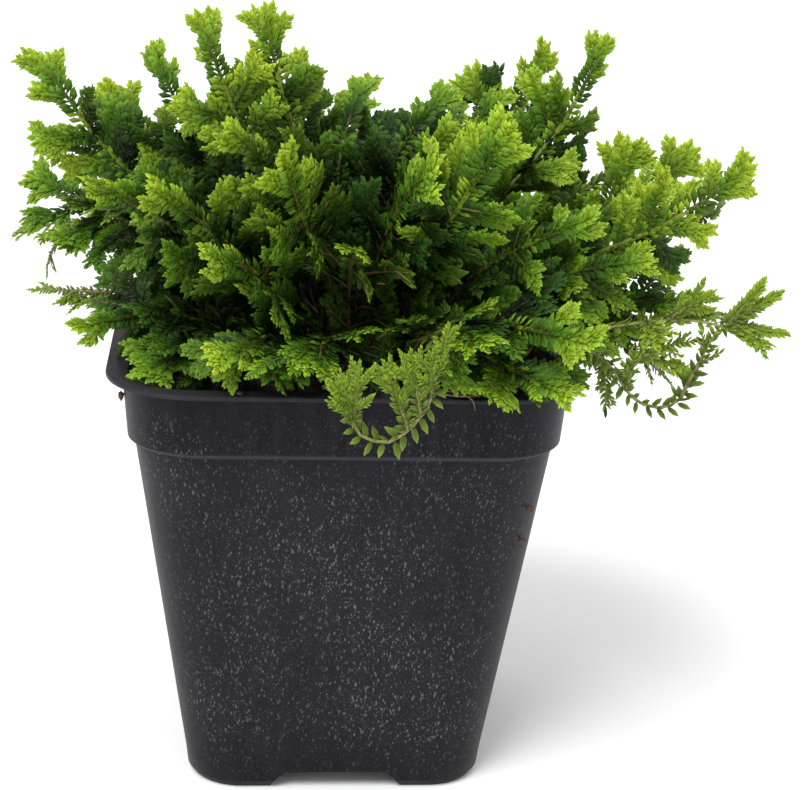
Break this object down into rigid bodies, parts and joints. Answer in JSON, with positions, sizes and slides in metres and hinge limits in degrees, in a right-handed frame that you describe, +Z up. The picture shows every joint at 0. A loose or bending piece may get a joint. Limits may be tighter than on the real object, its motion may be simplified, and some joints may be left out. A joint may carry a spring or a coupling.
{
  "type": "potted spikemoss",
  "caption": "Low mound of bright green spikemoss sprays with a few trailing runners, growing in a square black nursery pot filled with potting mix.",
  "frame": {"origin": "on the surface the pot stands on, under the middle of the pot, which is also the middle of the plant's spread", "axes": "+Z up, X and Y square to the pot's faces; the hanging loop and the pictured front face -Y"},
  "size_m": [0.1449, 0.1331, 0.1486],
  "materials": {
    "pot_plastic": "charcoal black nursery pot plastic with pale flecks",
    "potting_mix": "dark peat and bark crumbs with a few white grains",
    "spikemoss_leaf": "small soft leaves, dark green inside and yellow-green at the tips",
    "runner_leaf": "pale yellow-green stems and leaves of the thin runners"
  },
  "bodies": {
    "root": {"pot": "pot_plastic", "potting_mix": "potting_mix", "runner_back_1": "runner_leaf", "runner_front_1": "runner_leaf", "runner_left_1": "runner_leaf", "runner_left_2": "runner_leaf", "runner_right_1": "runner_leaf", "runner_right_2": "runner_leaf", "runner_right_3": "runner_leaf", "spray_back_1": "spikemoss_leaf", "spray_back_2": "spikemoss_leaf", "spray_back_3": "spikemoss_leaf", "spray_back_4": "spikemoss_leaf", "spray_back_5": "spikemoss_leaf", "spray_back_6": "spikemoss_leaf", "spray_back_7": "spikemoss_leaf", "spray_back_8": "spikemoss_leaf", "spray_back_9": "spikemoss_leaf", "spray_front_1": "spikemoss_leaf", "spray_front_10": "spikemoss_leaf", "spray_front_11": "spikemoss_leaf", "spray_front_12": "spikemoss_leaf", "spray_front_2": "spikemoss_leaf", "spray_front_3": "spikemoss_leaf", "spray_front_4": "spikemoss_leaf", "spray_front_5": "spikemoss_leaf", "spray_front_6": "spikemoss_leaf", "spray_front_7": "spikemoss_leaf", "spray_front_8": "spikemoss_leaf", "spray_front_9": "spikemoss_leaf", "spray_left_1": "spikemoss_leaf", "spray_left_2": "spikemoss_leaf", "spray_left_3": "spikemoss_leaf", "spray_left_4": "spikemoss_leaf", "spray_left_5": "spikemoss_leaf", "spray_left_6": "spikemoss_leaf", "spray_middle_1": "spikemoss_leaf", "spray_middle_2": "spikemoss_leaf", "spray_right_1": "spikemoss_leaf", "spray_right_2": "spikemoss_leaf", "spray_right_3": "spikemoss_leaf", "spray_right_4": "spikemoss_leaf", "spray_right_5": "spikemoss_leaf", "spray_top_1": "spikemoss_leaf", "spray_top_2": "spikemoss_leaf", "spray_top_3": "spikemoss_leaf", "spray_top_4": "spikemoss_leaf", "spray_top_5": "spikemoss_leaf", "spray_top_6": "spikemoss_leaf", "spray_top_7": "spikemoss_leaf", "spray_top_8": "spikemoss_leaf", "spray_top_9": "spikemoss_leaf"}
  },
  "joints": []
}
